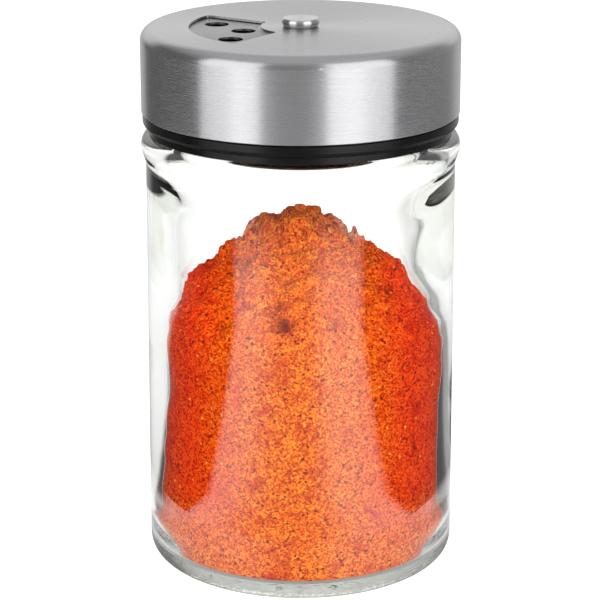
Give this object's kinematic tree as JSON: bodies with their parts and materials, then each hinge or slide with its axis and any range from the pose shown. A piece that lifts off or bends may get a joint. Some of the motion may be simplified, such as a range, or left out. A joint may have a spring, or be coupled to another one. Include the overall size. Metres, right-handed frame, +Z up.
{
  "type": "spice jar",
  "caption": "Round clear glass spice jar with ground spice inside and a screw-on lid: brushed steel cap with a window that turns over a steel disc with dosing holes.",
  "frame": {"origin": "centre of the jar's base on the surface that it stands on", "axes": "+Z up along the jar's axis; -Y faces the viewer of the picture, +X is to its right"},
  "size_m": [0.0603, 0.0602, 0.1057],
  "materials": {
    "jar_glass": "clear pressed soda-lime glass, smooth and slightly wavy inside",
    "ground_spice": "loose orange-red ground spice, clumpy and matte",
    "seal_liner": "soft pale liner, matte",
    "black_plastic": "moulded black polypropylene, satin",
    "disc_steel": "cold-rolled stainless sheet, plain satin",
    "brushed_steel": "stainless steel brushed round the skirt, turned rings on the top",
    "polished_steel": "polished stainless steel rivet head",
    "washer_steel": "plain steel washer"
  },
  "bodies": {
    "jar": {"glass_jar": "jar_glass", "spice_fill": "ground_spice"},
    "liner": {"seal_ring": "seal_liner"},
    "closure": {"screw_insert": "black_plastic", "dosing_disc": "disc_steel", "rivet_knob": "polished_steel", "backing_washer": "washer_steel"},
    "cap": {"steel_cap": "brushed_steel"}
  },
  "joints": [
    {"name": "lid_rise", "type": "slide", "parent": "jar", "child": "liner", "axis": [0, 0, 1], "range_m": [0, 0.015]},
    {"name": "lid_turn", "type": "hinge", "parent": "liner", "child": "closure", "pos_m": [0, 0, 0.1], "axis": [0, 0, 1], "range_deg": [0, 1080]},
    {"name": "cap_turn", "type": "hinge", "parent": "closure", "child": "cap", "pos_m": [0, 0, 0.104], "axis": [0, 0, 1], "continuous": true}
  ],
  "couplings": [
    {"joint": "lid_rise", "follows": "lid_turn", "m_per_rad": 0.00079577}
  ]
}
